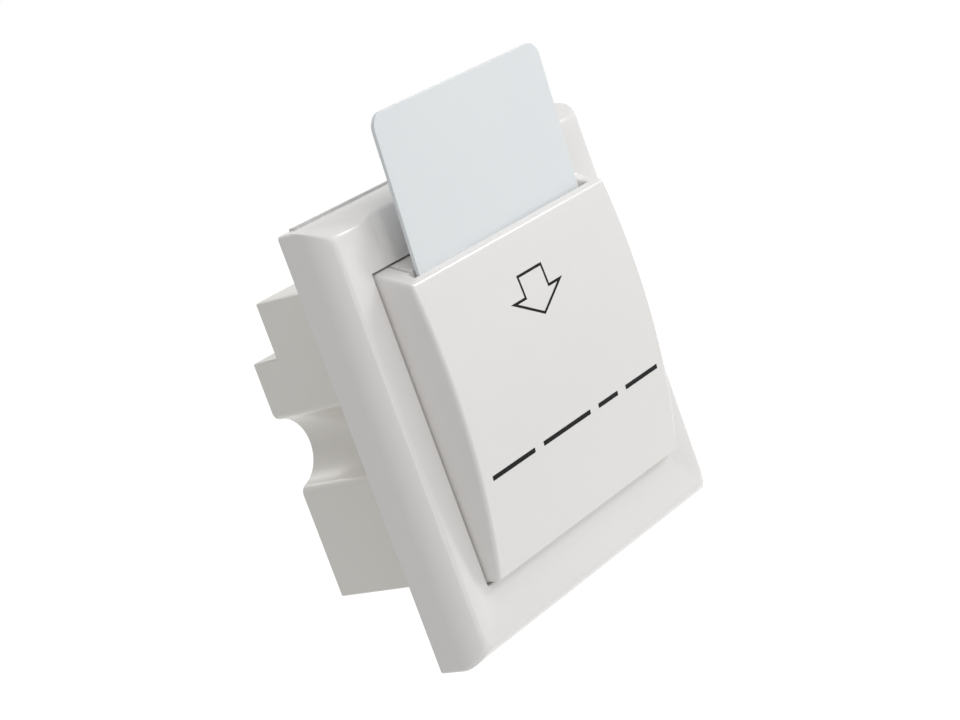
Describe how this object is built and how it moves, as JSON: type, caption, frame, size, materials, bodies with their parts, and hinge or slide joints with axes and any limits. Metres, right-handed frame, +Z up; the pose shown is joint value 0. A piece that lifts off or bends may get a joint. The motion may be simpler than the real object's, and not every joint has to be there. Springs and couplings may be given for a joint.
{
  "type": "hotel key card switch",
  "caption": "Square white wall plate with a bulging card pocket, a plain key card standing in it, a clip-on frame and a stepped flush housing with terminals behind.",
  "frame": {"origin": "middle of the face that lies on the wall, centred between the two fixing slots", "axes": "+X to the right seen from the front, +Y into the wall, +Z up; the front faces -Y"},
  "size_m": [0.086, 0.0478, 0.1009],
  "materials": {
    "white_plastic": "glossy moulded ABS",
    "housing_plastic": "glossy moulded ABS",
    "card": "laminated card",
    "zinc_steel": "zinc plated",
    "spring_steel": "bright spring strip",
    "brass_clamp": "bare brass",
    "circuit_board": "green solder mask",
    "black_plastic": "moulded",
    "plunger_plastic": "moulded",
    "relay_plastic": "sealed case",
    "terminal_plastic": "moulded",
    "capacitor_box": "filled box",
    "capacitor_sleeve": "shrunk sleeve",
    "varistor_coating": "dipped coating",
    "resistor_lacquer": "lacquer"
  },
  "bodies": {
    "base": {"front_plate": "white_plastic", "mounting_frame": "white_plastic", "pocket_cover": "white_plastic", "pocket_back": "white_plastic", "pocket_screws": "zinc_steel", "rear_housing": "housing_plastic", "terminal_cover": "housing_plastic", "housing_screws": "zinc_steel", "pcb": "circuit_board", "pcb_screws": "zinc_steel", "microswitch": "black_plastic", "lever_pin": "spring_steel", "relay": "relay_plastic", "terminal_block": "terminal_plastic", "terminal_clamps": "brass_clamp", "terminal_screws": "zinc_steel", "film_capacitor": "capacitor_box", "storage_capacitor": "capacitor_sleeve", "bridge_rectifier": "black_plastic", "fuse": "black_plastic", "varistor": "varistor_coating", "timer_chip": "black_plastic", "transistor": "black_plastic", "resistors": "resistor_lacquer"},
    "card": {"key_card": "card"},
    "lever": {"switch_lever": "spring_steel"},
    "plunger": {"switch_plunger": "plunger_plastic"}
  },
  "joints": [
    {"name": "card_slide", "type": "slide", "parent": "base", "child": "card", "axis": [0, -0.0649, 0.9979], "range_m": [0, 0.062]},
    {"name": "lever_turn", "type": "hinge", "parent": "base", "child": "lever", "pos_m": [0, -0.0042, -0.0115], "axis": [-1, 0, 0], "range_deg": [0, 7]},
    {"name": "plunger_slide", "type": "slide", "parent": "base", "child": "plunger", "axis": [0, -1, 0], "range_m": [0, 0.0004]}
  ],
  "couplings": [
    {"joint": "lever_turn", "follows": "card_slide", "rad_per_m": 1.97},
    {"joint": "plunger_slide", "follows": "card_slide", "ratio": 0.00645}
  ]
}
